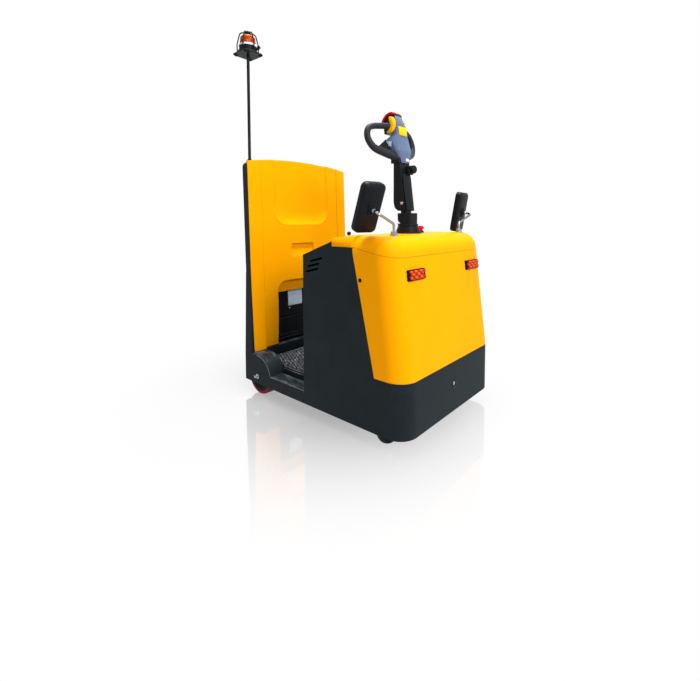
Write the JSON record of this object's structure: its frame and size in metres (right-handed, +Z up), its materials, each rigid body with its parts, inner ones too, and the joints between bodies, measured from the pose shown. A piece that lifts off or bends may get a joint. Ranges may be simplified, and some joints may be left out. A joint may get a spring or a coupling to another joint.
{
  "type": "stand-on electric tow tractor",
  "caption": "Stand-on electric tow tractor with tiller steering, backrest tower, operator platform, castor-steadied nose, mirrors, pole beacon and rear tow jaw.",
  "frame": {"origin": "on the floor, midway between the front bumper and the tip of the rear coupling, on the middle plane", "axes": "+X forward to the nose, +Y to the vehicle's left, +Z up"},
  "size_m": [1.18, 0.8977, 1.968],
  "materials": {
    "yellow_moulding": "satin gloss moulded cover",
    "dark_panel": "anthracite powder coat",
    "dark_plastic": "black moulded plastic",
    "battery_case": "painted steel battery tank",
    "tiller_grey": "blue-grey moulded cover",
    "grip_rubber": "soft dark grip",
    "mat_rubber": "pebbled mat",
    "red_tread": "cast polyurethane tread",
    "black_tread": "solid rubber tread",
    "hub_iron": "painted casting",
    "bright_steel": "bright steel",
    "chrome": "plated rod",
    "mirror_glass": "silvered glass",
    "lamp_red": "faceted red-orange lens",
    "beacon_amber": "ribbed amber lens",
    "signal_red": "red button",
    "paddle_yellow": "yellow switch paddle"
  },
  "bodies": {
    "chassis": {"chassis_frame": "dark_panel", "front_bumper": "dark_panel", "side_panel_right": "dark_panel", "side_panel_left": "dark_panel", "side_frame_right": "dark_panel", "side_frame_left": "dark_panel", "rear_axles": "bright_steel", "rear_tower": "dark_panel", "backrest_cover": "yellow_moulding", "kick_panel": "dark_plastic", "platform": "dark_panel", "platform_mat": "mat_rubber", "console_wall": "dark_panel", "dash_panel": "dark_plastic", "battery": "battery_case", "nose_hood": "yellow_moulding", "nose_cap": "yellow_moulding", "lamp_housings": "dark_plastic", "lamp_lenses": "lamp_red", "mirror_heads": "dark_plastic", "mirror_glasses": "mirror_glass", "mirror_stalks": "chrome", "beacon_pole": "dark_plastic", "beacon_lens": "beacon_amber", "beacon_guard": "dark_plastic", "emergency_button": "signal_red", "tow_jaw": "dark_panel"},
    "steering": {"drive_unit": "hub_iron", "tiller_boot": "dark_plastic"},
    "tiller": {"tiller_arm": "dark_plastic", "tiller_head": "tiller_grey", "tiller_grips": "grip_rubber", "head_core": "dark_plastic", "belly_switch": "signal_red", "thumb_paddles": "paddle_yellow", "arm_knob": "dark_plastic"},
    "drive_wheel": {"drive_disc": "black_tread"},
    "rear_wheel_right": {"rear_hub_right": "hub_iron", "rear_tyre_right": "red_tread"},
    "rear_wheel_left": {"rear_hub_left": "hub_iron", "rear_tyre_left": "red_tread"},
    "castor_swivel_right": {"castor_fork_right": "bright_steel"},
    "castor_swivel_left": {"castor_fork_left": "bright_steel"},
    "castor_roll_right": {"castor_wheel_right": "black_tread"},
    "castor_roll_left": {"castor_wheel_left": "black_tread"},
    "tow_pin": {"tow_pin": "bright_steel"}
  },
  "joints": [
    {"name": "steer", "type": "hinge", "parent": "chassis", "child": "steering", "pos_m": [0.326, 0, 0.9], "axis": [0, 0, 1], "range_deg": [-80, 80]},
    {"name": "tiller_tilt", "type": "hinge", "parent": "steering", "child": "tiller", "pos_m": [0.314, 0, 1.0253], "axis": [0, -1, 0], "range_deg": [-8, 40]},
    {"name": "drive_roll", "type": "hinge", "parent": "steering", "child": "drive_wheel", "pos_m": [0.326, 0, 0.115], "axis": [0, 1, 0], "continuous": true},
    {"name": "tow_pin_lift", "type": "slide", "parent": "chassis", "child": "tow_pin", "axis": [0, 0, 1], "range_m": [0, 0.064]},
    {"name": "rear_roll_right", "type": "hinge", "parent": "chassis", "child": "rear_wheel_right", "pos_m": [-0.376, -0.3515, 0.1], "axis": [0, 1, 0], "continuous": true},
    {"name": "castor_turn_right", "type": "hinge", "parent": "chassis", "child": "castor_swivel_right", "pos_m": [0.469, -0.3, 0.116], "axis": [0, 0, 1], "continuous": true},
    {"name": "castor_spin_right", "type": "hinge", "parent": "castor_swivel_right", "child": "castor_roll_right", "pos_m": [0.454, -0.32598, 0.05], "axis": [-0.866, 0.5, 0], "continuous": true},
    {"name": "rear_roll_left", "type": "hinge", "parent": "chassis", "child": "rear_wheel_left", "pos_m": [-0.376, 0.3515, 0.1], "axis": [0, 1, 0], "continuous": true},
    {"name": "castor_turn_left", "type": "hinge", "parent": "chassis", "child": "castor_swivel_left", "pos_m": [0.469, 0.3, 0.116], "axis": [0, 0, 1], "continuous": true},
    {"name": "castor_spin_left", "type": "hinge", "parent": "castor_swivel_left", "child": "castor_roll_left", "pos_m": [0.454, 0.27402, 0.05], "axis": [-0.866, 0.5, 0], "continuous": true}
  ]
}
